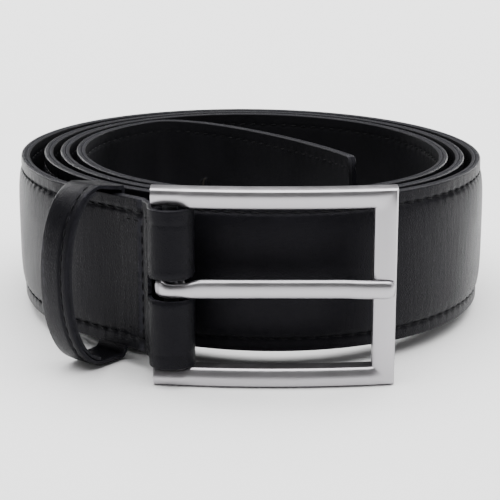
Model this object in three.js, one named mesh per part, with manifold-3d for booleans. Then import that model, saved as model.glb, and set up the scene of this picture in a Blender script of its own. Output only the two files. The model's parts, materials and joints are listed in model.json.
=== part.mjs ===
// Leather dress belt with a rectangular prong buckle, coiled up and standing on its lower edge.
// Millimetres, +Z up. The strap is a ribbon swept along a plan curve; every ply shares its stations.
import * as THREE from 'three';
import * as BufferGeometryUtils from 'three/addons/utils/BufferGeometryUtils.js';
import Module from 'manifold-3d';

const wasm = await Module();
wasm.setup();

// ---- small named numbers -------------------------------------------------------------------
const HALF = 1 / 2;
const TURN = 2 * Math.PI;
const QUARTER = TURN / 4;
const DEGREE = TURN / 360;

// ---- strap section -------------------------------------------------------------------------
const strapWidth = 34.6;        // lower edge to upper edge
const leatherPly = 1.1;         // outer leather, also the loop and the turned-back tail
const liningPly = 0.9;          // lining leather behind it
const glueGap = 0.1;            // between plies that lie on each other
const edgeThickness = leatherPly + glueGap + liningPly;
const edgeChamfer = 0.35;       // skived corner of the cut edges
const seamInset = 3.0;          // stitch row to strap edge
const seamRise = 0.1;           // dome height at the stitch row
const shoulderInset = 7.0;      // where the padded dome levels off
const shoulderRise = 0.8;
const domeRise = 0.95;          // dome height along the middle
const fillerEdgeRise = 0.35;    // the filler starts where the dome is this high
const threadWidth = 0.55;
const threadRise = 0.3;
const threadGap = 0.05;

// ---- coil in plan --------------------------------------------------------------------------
const coilRadius = 55.7;        // at coilRadiusTurn
const coilRadiusTurn = 0.75;    // three quarters of a turn, clockwise from the front
const coilPitchOval = 0.30;     // the turns lie closer at front and back than at the sides
const turnGap = 0.37;           // air between turns where they lie closest
const coilPitch = edgeThickness + domeRise + coilPitchOval + turnGap;   // radius lost per turn
const ovalCosine = -0.026;      // share of the radius
const ovalSine = -0.035;
const flareOut = 7.23;          // the first half turn opens outward by this
const flareTurns = 0.5;
const flarePower = 2.3;
const coilEntry = 50.05;        // the coil is joined this far round from its front
const coilFrom = coilEntry / (TURN * coilRadius);   // turns, clockwise from the front
const coilTo = 3.397;
const sectorsPerTurn = 36;      // facets of neighbouring turns stay parallel

// ---- run from the buckle bar to the coil, and the inner end ---------------------------------
const barX = -18.47;
const barStandOff = 8.8;        // the bar's axis in front of the coil radius
const barY = -(coilRadius + barStandOff);
const barLeaveAngle = 117.8 * DEGREE;
const barLeavePull = 10.5;
const coilEntryPull = 9.36;
const tipFromCentre = 26.06;
const tipBearing = -24.61 * DEGREE;
const tipHeading = -65.8 * DEGREE;
const tipCoilPull = 15.4;
const tipPull = 25.6;
const tipSteps = 10;
const tipCorner = 1.6;          // rounded corner of the square-cut end
const tipCornerEase = 0.25;     // share of the corner cut off where its second facet starts
const tipFade = 22;             // the dome runs out over this length before the tip

// ---- fold round the bar, measured along the strap from the bar -------------------------------
const barRadius = 1.6;
const barClearance = 0.08;      // radial, bar in arm and hook on bar
const hookThickness = 1.8;
const hookRoom = 0.52;          // hook to the inside of the leather loop
const foldInner = barRadius + barClearance + hookThickness + hookRoom;
const foldLength = 9.6;         // from the bar to the first seam across the strap
const foldSteps = 5;
const foldSectors = 8;          // facets round the bar
const foldTrim = 0.4;           // the loop is a little lower than the strap, at each edge
const boxLength = 6.6;          // stitched box behind the fold
const keeperWidth = 8.4;
const keeperRun = 21.8;         // middle of the keeper
const keeperFlat = 0.15;        // flat facet past each side of the keeper
const flatLength = keeperRun - keeperWidth / 2 - keeperFlat;
const flatEnd = keeperRun + keeperWidth / 2 + keeperFlat;
const tailLength = 38.0;        // turned-back end behind the strap
const tailTrim = 2.3;           // narrower than the strap by this at each edge
const tailLift = 0.9;           // the free end stands off a little

// ---- prong slot ----------------------------------------------------------------------------
const shaftHeight = 4.05;
const slotRoom = 0.65;
const slotHeight = shaftHeight + slotRoom;
const slotPastBar = 3.4;        // how far the slot runs along the front of the loop
const slotBehind = 0.9;         // and past the bar's axis at the back

// ---- buckle --------------------------------------------------------------------------------
const frameLength = 52.1;
const armWidth = 4.1;
const armGap = 0.3;             // strap edge to the arm beside it
const frameHeight = strapWidth + (armGap + armWidth) * 2;
const frameDepth = 5.0;
const endBarWidth = 4.85;
const frameBow = 2.0;           // the frame bellies out in the middle of its length
const frameBarInset = 4.03;     // arm ends to the bar's axis
const frameSteps = 7;
const frameCorner = 0.6;        // cut off each outer corner
const armRelief = 0.45;         // the arms are thinner beside the loop
const armReliefLength = 6.7;
const armReliefStep = 0.5;
const frameBevel = 0.4;
const frameCrown = 1.1;         // the front face is rounded up by this
const crownSteps = 5;
const frameCutters = 15;        // length of the tools that cut the frame's corners
const barCover = 1.2;           // metal left over each blind hole of the bar
const barEndGap = 0.2;          // bar end to the bottom of its hole

// ---- prong ---------------------------------------------------------------------------------
const hookHeight = 3.6;
const hookWrap = 260 * DEGREE;
const hookSteps = 13;
const shaftThickness = 2.3;
const shaftGrow = 5.0;          // the hook grows into the shaft over this length
const shaftRise = 0.55;         // the shaft leans forward by this at its tip
const shaftTipInset = 0.8;      // tip to the frame's outer edge
const shaftBevel = 1.6;
const shaftBevelShare = 0.55;
const notchClearance = 0.15;
const notchLead = 2.4;          // the notch's cutter starts this far inside the window
const roundPower = 2.6;         // rounded-rectangle exponent of the prong's section
const prongSides = 12;

// ---- keeper --------------------------------------------------------------------------------
const keeperOver = 3.15;        // it stands past the strap's upper edge
const keeperUnder = 3.75;       // and past its lower edge
const keeperBelly = 16.7;       // outer face of the front, from the strap's path
const keeperShoulder = 5.4;     // where the belly starts
const keeperPly = 1.2;
const keeperBackPly = 1.1;
const keeperLiningPly = 0.8;
const keeperBackGap = 0.15;
const keeperFrontPower = 2.1;
const keeperBackPower = 14;
const keeperSteps = 48;
const keeperLiningReach = 84 * DEGREE;
const keeperLiningSteps = 20;
const keeperSeamInset = 2.0;
const keeperSeamReach = 72 * DEGREE;

// ---- punched holes -------------------------------------------------------------------------
const holeCount = 5;
const holeRadius = 2.0;
const holePitch = 25;
const holeMiddleFromTip = 110;
const holeSides = 16;
const holeReach = 0.15;         // the punch passes each face by this

// ---- materials -----------------------------------------------------------------------------
const blackLeather = { color: 0x0d0d10, roughness: 0.42, metalness: 0 };
const liningLeather = { color: 0x17171b, roughness: 0.55, metalness: 0 };
const fillerBoard = { color: 0x2a2623, roughness: 0.9, metalness: 0 };
const sewingThread = { color: 0x111114, roughness: 0.7, metalness: 0 };
const satinSteel = { color: 0xb9b7ba, roughness: 0.3, metalness: 1 };

// ---- solids --------------------------------------------------------------------------------
function signedVolume(points, faces) {
  let total = 0;
  const cross = new THREE.Vector3();
  for (const [a, b, c] of faces) {
    cross.crossVectors(points[b], points[c]);
    total += points[a].dot(cross);
  }
  return total;
}

function bodyFrom(points, faces) {
  const outward = signedVolume(points, faces) > 0;
  const index = faces.flatMap(([a, b, c]) => (outward ? [a, b, c] : [a, c, b]));
  const geometry = new THREE.BufferGeometry();
  const flat = points.flatMap((p) => [p.x, p.y, p.z]);
  geometry.setAttribute('position', new THREE.Float32BufferAttribute(flat, 3));
  geometry.setIndex(index);
  return geometry;
}

// A body through a row of rings with the same number of points. Ring points come in pairs,
// first with last, so that an open end closes with a ladder of faces.
function loft(rings, closed = false) {
  const around = rings[0].length;
  const points = rings.flat();
  const faces = [];
  const last = closed ? rings.length : rings.length - 1;
  for (let i = 0; i < last; i += 1) {
    const here = i * around;
    const next = ((i + 1) % rings.length) * around;
    for (let j = 0; j < around; j += 1) {
      const k = (j + 1) % around;
      faces.push([here + j, here + k, next + k]);
      faces.push([here + j, next + k, next + j]);
    }
  }
  if (!closed) {
    const end = (rings.length - 1) * around;
    for (let j = 0; j < around / 2 - 1; j += 1) {
      const back = around - 1 - j;
      faces.push([j, back, j + 1]);
      faces.push([back, back - 1, j + 1]);
      faces.push([end + j, end + j + 1, end + back]);
      faces.push([end + back, end + j + 1, end + back - 1]);
    }
  }
  return bodyFrom(points, faces);
}

function toSolid(geometry) {
  const bare = geometry.clone();
  bare.deleteAttribute('normal');
  bare.deleteAttribute('uv');
  const merged = BufferGeometryUtils.mergeVertices(bare);
  const vertProperties = new Float32Array(merged.attributes.position.array);
  const triVerts = new Uint32Array(merged.index.array);
  return new wasm.Manifold(new wasm.Mesh({ numProp: 3, vertProperties, triVerts }));
}

function toGeometry(solid) {
  const mesh = solid.getMesh();
  const geometry = new THREE.BufferGeometry();
  geometry.setAttribute('position', new THREE.BufferAttribute(mesh.vertProperties.slice(), 3));
  geometry.setIndex(new THREE.BufferAttribute(mesh.triVerts.slice(), 1));
  return geometry;
}

function cutAway(geometry, cutters) {
  const left = cutters.reduce((body, tool) => body.subtract(toSolid(tool)), toSolid(geometry));
  return toGeometry(left);
}

// A cylinder between two points.
function rod(from, to, radius, sides) {
  const along = new THREE.Vector3().subVectors(to, from);
  const geometry = new THREE.CylinderGeometry(radius, radius, along.length(), sides);
  const turn = new THREE.Quaternion();
  turn.setFromUnitVectors(new THREE.Vector3(0, 1, 0), along.clone().normalize());
  geometry.applyQuaternion(turn);
  geometry.translate((from.x + to.x) / 2, (from.y + to.y) / 2, (from.z + to.z) / 2);
  return geometry;
}

// ---- plan curve ----------------------------------------------------------------------------
const smooth = (x) => x * x * (3 - 2 * x);
const clamp01 = (x) => Math.min(Math.max(x, 0), 1);

function coilPoint(turns) {
  const angle = -QUARTER - TURN * turns;
  const pitch = coilPitch + coilPitchOval * Math.cos(2 * angle);
  const oval = ovalCosine * Math.cos(2 * angle) + ovalSine * Math.sin(2 * angle);
  const flare = flareOut * (Math.max(flareTurns - turns, 0) / flareTurns) ** flarePower;
  const radius = coilRadius * (1 + oval) - pitch * (turns - coilRadiusTurn) + flare;
  return new THREE.Vector2(radius * Math.cos(angle), radius * Math.sin(angle));
}

function coilTangent(turns) {
  const step = 1 / (sectorsPerTurn * sectorsPerTurn);
  return coilPoint(turns + step).sub(coilPoint(turns - step)).normalize();
}

const direction = (angle) => new THREE.Vector2(Math.cos(angle), Math.sin(angle));
const barAt = new THREE.Vector2(barX, barY);
const tipAt = direction(tipBearing).multiplyScalar(tipFromCentre);
const leaveCurve = new THREE.CubicBezierCurve(
  barAt,
  barAt.clone().addScaledVector(direction(barLeaveAngle), barLeavePull),
  coilPoint(coilFrom).addScaledVector(coilTangent(coilFrom), -coilEntryPull),
  coilPoint(coilFrom),
);
const tipCurve = new THREE.CubicBezierCurve(
  coilPoint(coilTo),
  coilPoint(coilTo).addScaledVector(coilTangent(coilTo), tipCoilPull),
  tipAt.clone().addScaledVector(direction(tipHeading), -tipPull),
  tipAt,
);

// Stations: plan point, distance from the bar along the run, and the outward normal.
const leaveLength = leaveCurve.getLength();
const onLeave = (length) => leaveCurve.getPointAt(length / leaveLength);
const foldStations = [];
for (let i = 0; i <= foldSteps; i += 1) {
  foldStations.push((foldLength * i) / foldSteps);
}
const leaveStations = [
  ...foldStations,
  foldLength + boxLength,
  flatLength,
  flatEnd,
  (flatEnd + tailLength) / 2,
  tailLength,
];
const stations = leaveStations.map((length) => ({ point: onLeave(length) }));
for (let k = Math.ceil(coilFrom * sectorsPerTurn); k <= coilTo * sectorsPerTurn; k += 1) {
  stations.push({ point: coilPoint(k / sectorsPerTurn) });
}
for (let k = 1; k < tipSteps; k += 1) {
  stations.push({ point: tipCurve.getPointAt(k / tipSteps) });
}
const tipRun = tipCurve.getLength();
stations.push({ point: tipCurve.getPointAt(1 - tipCorner / tipRun), inset: 0 });
const tipEased = tipCorner * tipCornerEase;
stations.push({ point: tipCurve.getPointAt(1 - tipEased / tipRun), inset: tipEased });
stations.push({ point: tipAt.clone(), inset: tipCorner });

stations.forEach((station, i) => {
  const before = stations[Math.max(i - 1, 0)].point;
  const after = stations[Math.min(i + 1, stations.length - 1)].point;
  const arrive = station.point.clone().sub(before).normalize();
  const leave = after.clone().sub(station.point).normalize();
  const heading = arrive.add(leave).normalize();
  station.heading = i === 0 ? direction(barLeaveAngle) : heading;
  station.out = new THREE.Vector2(-station.heading.y, station.heading.x);
  station.run = i === 0 ? 0 : stations[i - 1].run + station.point.distanceTo(before);
});
const totalRun = stations[stations.length - 1].run;
const runAt = (i) => stations[i].run;
const seamStation = foldSteps;
const boxStation = seamStation + 1;
const flatStation = boxStation + 1;
const tailStation = leaveStations.length - 1;

// Dome strength: none on the fold and the stitched box, full past the keeper, none at the tip.
function domeShare(i) {
  const rising = smooth(clamp01((runAt(i) - runAt(boxStation)) / (flatEnd - runAt(boxStation))));
  const fading = smooth(clamp01((totalRun - runAt(i)) / tipFade));
  return rising * fading;
}

function domeHeight(z, share) {
  const inward = Math.min(z, strapWidth - z);
  const middle = strapWidth / 2;
  const marks = [0, seamInset, shoulderInset, middle];
  const rises = [0, seamRise, shoulderRise, domeRise];
  const slot = marks.findIndex((mark, i) => i > 0 && inward <= mark);
  const upper = slot < 0 ? marks.length - 1 : slot;
  const part = (inward - marks[upper - 1]) / (marks[upper] - marks[upper - 1]);
  return share * THREE.MathUtils.lerp(rises[upper - 1], rises[upper], clamp01(part));
}

// A point of a ply: offset outward from the run's middle line, at height z.
function placed(point, out, offset, z) {
  return new THREE.Vector3(point.x + out.x * offset, point.y + out.y * offset, z);
}

// ---- strap plies ---------------------------------------------------------------------------
const faceOffset = edgeThickness / 2;
const backOffset = -edgeThickness / 2;
const leatherInner = faceOffset - leatherPly;
const liningOuter = backOffset + liningPly;
const insetShares = [0, seamInset / strapWidth, shoulderInset / strapWidth];
const middleShares = [...insetShares, HALF, ...insetShares.map((share) => 1 - share).reverse()];

// One ring of the outer leather, between heights low and high.
function leatherRing(section) {
  const { point, out, inner, low, high, share } = section;
  const outer = inner + leatherPly;
  const tall = high - low;
  const heights = middleShares.map((part) => low + part * tall);
  const face = heights.map((z) => placed(point, out, outer + domeHeight(z, share), z));
  face[0] = placed(point, out, outer, low + edgeChamfer);
  face[face.length - 1] = placed(point, out, outer, high - edgeChamfer);
  face.unshift(placed(point, out, outer - edgeChamfer, low));
  face.push(placed(point, out, outer - edgeChamfer, high));
  const back = heights.map((z) => placed(point, out, inner + domeHeight(z, share), z));
  back[0] = placed(point, out, inner, low + edgeChamfer);
  back[back.length - 1] = placed(point, out, inner, high - edgeChamfer);
  back.unshift(placed(point, out, inner, low));
  back.push(placed(point, out, inner, high));
  return [...face, ...back.reverse()];
}

function frontInner(length) {
  return THREE.MathUtils.lerp(foldInner, leatherInner, smooth(clamp01(length / foldLength)));
}
const tailFlat = -backOffset + glueGap;
const tailBehindKeeper = -backOffset + keeperBackGap * 2 + keeperBackPly;
function tailInner(i) {
  if (i <= boxStation - 1) {
    return THREE.MathUtils.lerp(foldInner, tailFlat, smooth(clamp01(runAt(i) / foldLength)));
  }
  if (i === boxStation) {
    return (tailFlat + tailBehindKeeper) / 2;
  }
  const lifted = clamp01((runAt(i) - flatEnd) / (tailLength - flatEnd));
  return tailBehindKeeper + tailLift * lifted;
}
function foldLow(length) {
  return foldTrim * (1 - smooth(clamp01(length / foldLength)));
}
function tailLow(length) {
  return THREE.MathUtils.lerp(foldTrim, tailTrim, smooth(clamp01(length / foldLength)));
}

const leatherSections = [];
for (let i = stations.length - 1; i >= 0; i -= 1) {
  const { point, out, inset = 0, run } = stations[i];
  const low = Math.max(inset, foldLow(run));
  leatherSections.push({
    point,
    out,
    inner: frontInner(run),
    low,
    high: strapWidth - low,
    share: domeShare(i),
  });
}
const leaveOutAngle = barLeaveAngle + QUARTER;
for (let k = 1; k < foldSectors; k += 1) {
  const low = foldLow(0);
  const out = direction(leaveOutAngle + (k * HALF * TURN) / foldSectors);
  leatherSections.push({
    point: barAt,
    out,
    inner: foldInner,
    low,
    high: strapWidth - low,
    share: 0,
  });
}
for (let i = 0; i <= tailStation; i += 1) {
  const { point, out, run } = stations[i];
  const low = tailLow(run);
  leatherSections.push({
    point,
    out: out.clone().negate(),
    inner: tailInner(i),
    low,
    high: strapWidth - low,
    share: 0,
  });
}

// ---- cutters -------------------------------------------------------------------------------
const midHeight = strapWidth / 2;
const pointAt = (x, y, z) => new THREE.Vector3(x, y, z);

function slotCutters() {
  const reach = foldInner + leatherPly * 2;
  const out = direction(leaveOutAngle);
  const along = direction(barLeaveAngle);
  const centre = barAt.clone().addScaledVector(along, slotPastBar - slotHeight / 2);
  const left = centre.clone().addScaledVector(out, foldInner / 2);
  const right = centre.clone().addScaledVector(out, reach);
  const end = rod(
    pointAt(left.x, left.y, midHeight),
    pointAt(right.x, right.y, midHeight),
    slotHeight / 2,
    holeSides,
  );
  const box = new THREE.BoxGeometry(reach * 2, reach + slotBehind, slotHeight);
  box.translate(0, (slotBehind - reach) / 2, 0);
  box.translate(barX, barY, midHeight);
  return [end, box];
}

function stationAtRun(run) {
  const k = stations.findIndex((station) => station.run >= run);
  const from = stations[k - 1];
  const to = stations[k];
  const part = (run - from.run) / (to.run - from.run);
  const point = from.point.clone().lerp(to.point, part);
  const heading = to.point.clone().sub(from.point).normalize();
  return { point, out: new THREE.Vector2(-heading.y, heading.x) };
}

function holeCutters() {
  const cutters = [];
  for (let k = 0; k < holeCount; k += 1) {
    const fromTip = holeMiddleFromTip + (k - (holeCount - 1) / 2) * holePitch;
    const { point, out } = stationAtRun(totalRun - fromTip);
    const inner = placed(point, out, backOffset - holeReach, midHeight);
    const outer = placed(point, out, faceOffset + domeRise + holeReach, midHeight);
    cutters.push(rod(inner, outer, holeRadius, holeSides));
  }
  return cutters;
}

const leatherBody = cutAway(loft(leatherSections.map(leatherRing)), [
  ...slotCutters(),
  ...holeCutters(),
]);

// Lining: from the first seam to the tip.
const liningRings = stations.slice(seamStation).map(({ point, out, inset = 0 }) => {
  const low = inset;
  const high = strapWidth - inset;
  return [
    placed(point, out, liningOuter, low),
    placed(point, out, liningOuter, high),
    placed(point, out, backOffset + edgeChamfer, high),
    placed(point, out, backOffset, high - edgeChamfer),
    placed(point, out, backOffset, low + edgeChamfer),
    placed(point, out, backOffset + edgeChamfer, low),
  ];
});
const liningBody = cutAway(loft(liningRings), holeCutters());

// Filler: the padding under the dome, between the lining and the outer leather.
const fillerInset = THREE.MathUtils.mapLinear(
  fillerEdgeRise,
  seamRise,
  shoulderRise,
  seamInset,
  shoulderInset,
);
const fillerHeights = [
  fillerInset,
  shoulderInset,
  midHeight,
  strapWidth - shoulderInset,
  strapWidth - fillerInset,
];
const fillerFirst = stations.findIndex((s) => s.run >= flatEnd - glueGap);
const fillerLast = stations.findIndex((s) => s.run > totalRun - tipFade);
const fillerRings = stations.slice(fillerFirst, fillerLast).map(({ point, out }, k) => {
  const share = domeShare(fillerFirst + k);
  const base = liningOuter + glueGap;
  const top = (z) => leatherInner + domeHeight(z, share) - glueGap;
  const face = fillerHeights.map((z) => placed(point, out, Math.max(top(z), base + glueGap), z));
  const back = fillerHeights.map((z) => placed(point, out, base, z));
  return [...face, ...back.reverse()];
});
const fillerBody = cutAway(loft(fillerRings), holeCutters());

// ---- stitching -----------------------------------------------------------------------------
function edgeThread(middle) {
  const last = stations.findIndex((s) => s.run > totalRun - seamInset);
  const rings = stations.slice(0, last).map(({ point, out, run }, i) => {
    const face = frontInner(run) + leatherPly + threadGap;
    const low = middle - threadWidth / 2;
    const high = middle + threadWidth / 2;
    const share = domeShare(i);
    return [
      placed(point, out, face + domeHeight(low, share) + threadRise, low),
      placed(point, out, face + domeHeight(high, share) + threadRise, high),
      placed(point, out, face + domeHeight(high, share), high),
      placed(point, out, face + domeHeight(low, share), low),
    ];
  });
  return loft(rings);
}

// Rectangle of stitching across the strap behind the fold, on the flat facet of the box.
function foldThread() {
  const from = stations[seamStation];
  const to = stations[boxStation];
  const heading = to.point.clone().sub(from.point).normalize();
  const out = new THREE.Vector2(-heading.y, heading.x);
  const middle = from.point.clone().lerp(to.point, HALF);
  const reach = boxLength / 2 - threadWidth;
  const tall = midHeight - seamInset - threadWidth * 2;
  const inner = faceOffset + threadGap * 2;
  const corner = (along, up, offset) => {
    const at = middle.clone().addScaledVector(heading, along);
    return placed(at, out, offset, midHeight + up);
  };
  const signs = [
    [-1, -1],
    [1, -1],
    [1, 1],
    [-1, 1],
  ];
  const rings = signs.map(([a, b]) => [
    corner(a * reach, b * tall, inner + threadRise),
    corner(a * (reach - threadWidth), b * (tall - threadWidth), inner + threadRise),
    corner(a * (reach - threadWidth), b * (tall - threadWidth), inner),
    corner(a * reach, b * tall, inner),
  ]);
  return loft(rings, true);
}

// ---- keeper --------------------------------------------------------------------------------
const keeperFrom = stations[flatStation].point;
const keeperTo = stations[flatStation + 1].point;
const keeperHeading = keeperTo.clone().sub(keeperFrom).normalize();
const keeperOut = new THREE.Vector2(-keeperHeading.y, keeperHeading.x);
const keeperMiddle = keeperFrom.clone().lerp(keeperTo, HALF);
const keeperZ = (strapWidth + keeperOver - keeperUnder) / 2;
const keeperTall = (strapWidth + keeperOver + keeperUnder) / 2;
const rounded = (value, power) => Math.sign(value) * Math.abs(value) ** (2 / power);

// A point of the hoop: angle round it, depth below its outer face, distance along the strap.
function keeperPoint(angle, depth, along) {
  const front = Math.cos(angle) > 0;
  const power = front ? keeperFrontPower : keeperBackPower;
  const backOuter = keeperShoulder - backOffset + keeperBackGap + keeperBackPly;
  const backDepth = backOuter - depth * (keeperBackPly / keeperPly);
  const reach = front ? keeperBelly - keeperShoulder - depth : backDepth;
  const offset = keeperShoulder + reach * rounded(Math.cos(angle), power);
  const z = keeperZ + (keeperTall - depth) * rounded(Math.sin(angle), power);
  const at = keeperMiddle.clone().addScaledVector(keeperHeading, along);
  return placed(at, keeperOut, offset, z);
}

function keeperRing(angle, outer, inner, from, to) {
  return [
    keeperPoint(angle, outer, from),
    keeperPoint(angle, outer, to),
    keeperPoint(angle, inner, to),
    keeperPoint(angle, inner, from),
  ];
}

function keeperBand() {
  const rings = [];
  for (let k = 0; k < keeperSteps; k += 1) {
    const angle = ((k + HALF) * TURN) / keeperSteps;
    rings.push(keeperRing(angle, 0, keeperPly, -keeperWidth / 2, keeperWidth / 2));
  }
  return loft(rings, true);
}

function keeperLiningBand() {
  const rings = [];
  const outer = keeperPly + glueGap;
  const side = keeperWidth / 2 - glueGap;
  for (let k = 0; k <= keeperLiningSteps; k += 1) {
    const angle = keeperLiningReach * ((2 * k) / keeperLiningSteps - 1);
    rings.push(keeperRing(angle, outer, outer + keeperLiningPly, -side, side));
  }
  return loft(rings);
}

function keeperSeam() {
  const rings = [];
  const from = keeperSeamInset - keeperWidth / 2;
  for (let k = 0; k <= keeperLiningSteps; k += 1) {
    const angle = keeperSeamReach * ((2 * k) / keeperLiningSteps - 1);
    const lift = threadGap * 2;
    rings.push(keeperRing(angle, -lift - threadRise, -lift, from, from + threadWidth));
  }
  return loft(rings);
}

// ---- buckle --------------------------------------------------------------------------------
const frameLeft = barX - frameBarInset;
const frameRight = frameLeft + frameLength;
const frameLow = midHeight - frameHeight / 2;
const frameHigh = midHeight + frameHeight / 2;
const bowAt = (x) => {
  const part = (x - (frameLeft + frameRight) / 2) / (frameLength / 2);
  return barY - frameBow * (1 - part * part);
};

// Section of the frame: share of the width from the outer edge, and depth from the middle.
// The front is crowned between flat sides and the back is flat, with a bevel at each side.
const sectionShares = Array.from({ length: crownSteps + 1 }, (_, k) => k / crownSteps);
const frontFace = sectionShares.map((share) => {
  const crown = frameCrown * Math.max(Math.sin(share * HALF * TURN), 0);
  return [share, frameCrown - frameDepth / 2 - crown];
});
const backFace = sectionShares.map((share) => {
  const bevel = share === 0 || share === 1 ? frameBevel : 0;
  return [share, frameDepth / 2 - bevel];
});
const frameSection = [...frontFace, ...backFace.reverse()];

function frameBody() {
  const rings = [];
  const straight = frameRight - endBarWidth - armReliefLength - frameLeft - armReliefStep;
  const xs = [frameLeft, frameLeft + armReliefLength];
  for (let k = 0; k <= frameSteps; k += 1) {
    xs.push(frameLeft + armReliefLength + armReliefStep + (straight * k) / (frameSteps + HALF));
  }
  const armRing = (x, side) => {
    const relief = x <= frameLeft + armReliefLength ? armRelief : 0;
    return frameSection.map(([share, depth]) => {
      const from = midHeight + (side * frameHeight) / 2;
      return pointAt(x, bowAt(x) + depth, from - side * share * (armWidth - relief));
    });
  };
  const cornerRing = (side) => frameSection.map(([share, depth]) => {
    const x = frameRight - share * endBarWidth;
    const z = midHeight + side * (frameHeight / 2 - share * armWidth);
    return pointAt(x, bowAt(x) + depth, z);
  });
  xs.forEach((x) => rings.push(armRing(x, -1)));
  rings.push(cornerRing(-1));
  rings.push(cornerRing(1));
  xs.reverse().forEach((x) => rings.push(armRing(x, 1)));
  const cutters = [];
  const hole = barRadius + barClearance;
  cutters.push(rod(
    pointAt(barX, barY, frameLow + barCover),
    pointAt(barX, barY, frameHigh - barCover),
    hole,
    prongSides * 2,
  ));
  [-1, 1].forEach((side) => {
    const chamfer = new THREE.BoxGeometry(frameDepth, frameCutters, frameDepth);
    chamfer.rotateY(QUARTER / 2);
    const push = (frameDepth / 2 - frameCorner / Math.SQRT2) / Math.SQRT2;
    chamfer.translate(frameRight + push, barY, midHeight + side * (frameHeight / 2 + push));
    cutters.push(chamfer);
  });
  cutters.push(shaftBody(notchClearance, frameRight + frameDepth));
  return cutAway(loft(rings), cutters);
}

// ---- prong ---------------------------------------------------------------------------------
const hookRadius = barRadius + barClearance + hookThickness / 2;
const shaftEnd = frameRight - shaftTipInset;
function prongRing(x, y, out, thickness, height) {
  const ring = [];
  for (let k = 0; k < prongSides; k += 1) {
    const angle = ((k + HALF) * TURN) / prongSides;
    const across = (thickness / 2) * rounded(Math.cos(angle), roundPower);
    const up = (height / 2) * rounded(Math.sin(angle), roundPower);
    ring.push(pointAt(x + out.x * across, y + out.y * across, midHeight + up));
  }
  return ring;
}

const forward = new THREE.Vector2(0, -1);
function shaftRing(x, grow) {
  const part = clamp01((x - barX) / shaftGrow);
  const lean = (shaftRise * (x - barX)) / (shaftEnd - barX);
  const thickness = THREE.MathUtils.lerp(hookThickness, shaftThickness, smooth(part));
  const height = THREE.MathUtils.lerp(hookHeight, shaftHeight, smooth(part));
  const y = barY - hookRadius - lean;
  return prongRing(x, y, forward, thickness + grow * 2, height + grow * 2);
}

// The shaft alone, grown all round: the frame's notch is cut with it.
function shaftBody(grow, end) {
  const start = frameRight - endBarWidth - notchLead;
  return loft([shaftRing(start, grow), shaftRing(end, grow)]);
}

function prongBody() {
  const rings = [];
  for (let k = 0; k < hookSteps; k += 1) {
    const angle = -QUARTER - hookWrap * (1 - k / hookSteps);
    const out = direction(angle);
    const at = barAt.clone().addScaledVector(out, hookRadius);
    rings.push(prongRing(at.x, at.y, out, hookThickness, hookHeight));
  }
  const bevelStart = shaftEnd - shaftBevel;
  const grown = barX + shaftGrow;
  [barX, (barX + grown) / 2, grown, bevelStart].forEach((x) => rings.push(shaftRing(x, 0)));
  const lean = shaftRise;
  const y = barY - hookRadius - lean;
  const small = shaftBevelShare;
  const sink = (shaftThickness * (1 - small)) / 2;
  rings.push(prongRing(shaftEnd, y + sink / 2, forward, shaftThickness * small, shaftHeight * small));
  return loft(rings);
}

function barBody() {
  return rod(
    pointAt(barX, barY, frameLow + barCover + barEndGap),
    pointAt(barX, barY, frameHigh - barCover - barEndGap),
    barRadius,
    prongSides * 2,
  );
}

// ---- assembly ------------------------------------------------------------------------------
const belt = new THREE.Group();
function addPart(name, geometry, look) {
  const flat = geometry.index ? geometry : BufferGeometryUtils.mergeVertices(geometry);
  flat.computeVertexNormals();
  const mesh = new THREE.Mesh(flat, new THREE.MeshStandardMaterial(look));
  mesh.name = name;
  belt.add(mesh);
}

addPart('strap_top_leather', leatherBody, blackLeather);
addPart('strap_filler', fillerBody, fillerBoard);
addPart('strap_lining', liningBody, liningLeather);
addPart('edge_thread_lower', edgeThread(seamInset), sewingThread);
addPart('edge_thread_upper', edgeThread(strapWidth - seamInset), sewingThread);
addPart('fold_thread', foldThread(), sewingThread);
addPart('keeper_outer', keeperBand(), blackLeather);
addPart('keeper_lining', keeperLiningBand(), liningLeather);
addPart('keeper_thread', keeperSeam(), sewingThread);
addPart('buckle_frame', frameBody(), satinSteel);
addPart('buckle_bar', barBody(), satinSteel);
addPart('prong', prongBody(), satinSteel);

// Stance: the buckle hangs below the strap's lower edge, so the belt leans back until it rests
// on the frame's lower back edge and on the back of the outer turn.
const backMost = coilPoint(HALF).y + faceOffset - edgeChamfer;
const frontMost = barY + frameDepth / 2 - frameBevel;
belt.rotation.x = Math.atan(frameLow / (backMost - frontMost));
const stance = new THREE.Group();
stance.add(belt);
stance.updateMatrixWorld(true);
const box = new THREE.Box3().setFromObject(stance, true);
stance.position.set(-(box.min.x + box.max.x) / 2, -(box.min.y + box.max.y) / 2, -box.min.z);
stance.updateMatrixWorld(true);

export default stance;
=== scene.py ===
# %% [markdown]
# # A coiled leather dress belt
# A dress belt is a long ribbon of leather plies with a metal buckle on one end. This lesson dresses
# a packed, jointed frame of that belt with fine surfaces: domed leather, sewn seams, a satin buckle.
# It could be sculpted by hand. Mesh code is used, because leather edges, folds and stitches follow
# simple rules of distance along the strap and height across it.

# %% The tools, and the frame that everything sits on
import json
import math
import bmesh
import bpy
import numpy as np
from mathutils import Matrix, Vector


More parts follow.
